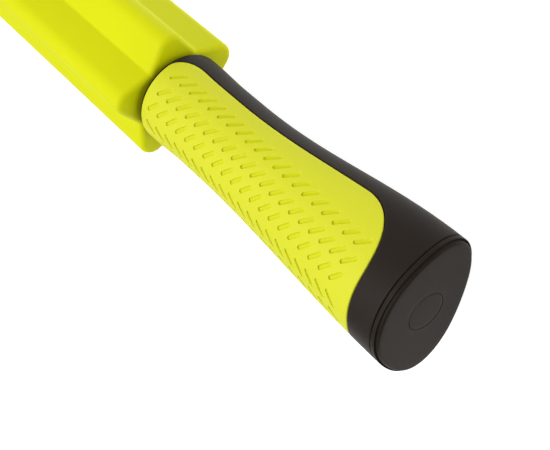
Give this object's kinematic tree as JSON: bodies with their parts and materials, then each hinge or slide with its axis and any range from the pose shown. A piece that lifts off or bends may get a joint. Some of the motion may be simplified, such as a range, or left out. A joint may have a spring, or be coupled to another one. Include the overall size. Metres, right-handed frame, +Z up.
{
  "type": "massage roller bar",
  "caption": "Hand-held massage roller bar: a fluted foam roller that spins freely on a shaft between two oval grips with textured rubber panels and flat end caps.",
  "frame": {"origin": "on the flat surface that the bar lies on, straight below the middle of its shaft", "axes": "+X along the shaft towards the right grip, +Z up through the middle of the two grip panels, +Y across the bar"},
  "size_m": [0.4576, 0.0506, 0.0463],
  "materials": {
    "lime_foam": "soft moulded foam skin in lime yellow, smooth and satin, with slightly rounded lobes",
    "lime_rubber": "soft-touch moulded rubber in lime yellow with fine recessed dashes",
    "black_plastic": "warm black moulded plastic, satin with a very fine grain",
    "cap_plastic": "warm dark grey moulded plastic, satin, slightly lighter than the grip",
    "grey_plastic": "extruded grey plastic tube, satin",
    "white_nylon": "natural nylon, slightly waxy",
    "steel": "zinc-plated steel, lightly brushed"
  },
  "bodies": {
    "handle_bar": {"shaft": "steel", "thrust_washer_right": "white_nylon", "handle_core_right": "black_plastic", "grip_panel_right": "lime_rubber", "end_cap_right": "cap_plastic", "cap_plug_right": "cap_plastic", "screw_washer_right": "steel", "end_screw_right": "steel", "shaft_insert_right": "steel", "thrust_washer_left": "white_nylon", "handle_core_left": "black_plastic", "grip_panel_left": "lime_rubber", "end_cap_left": "cap_plastic", "cap_plug_left": "cap_plastic", "screw_washer_left": "steel", "end_screw_left": "steel", "shaft_insert_left": "steel"},
    "roller": {"foam_sleeve": "lime_foam", "core_tube": "grey_plastic", "bushing_right": "white_nylon", "bushing_left": "white_nylon"}
  },
  "joints": [
    {"name": "roller_spin", "type": "hinge", "parent": "handle_bar", "child": "roller", "pos_m": [0, 0, 0.02127], "axis": [1, 0, 0], "continuous": true}
  ]
}
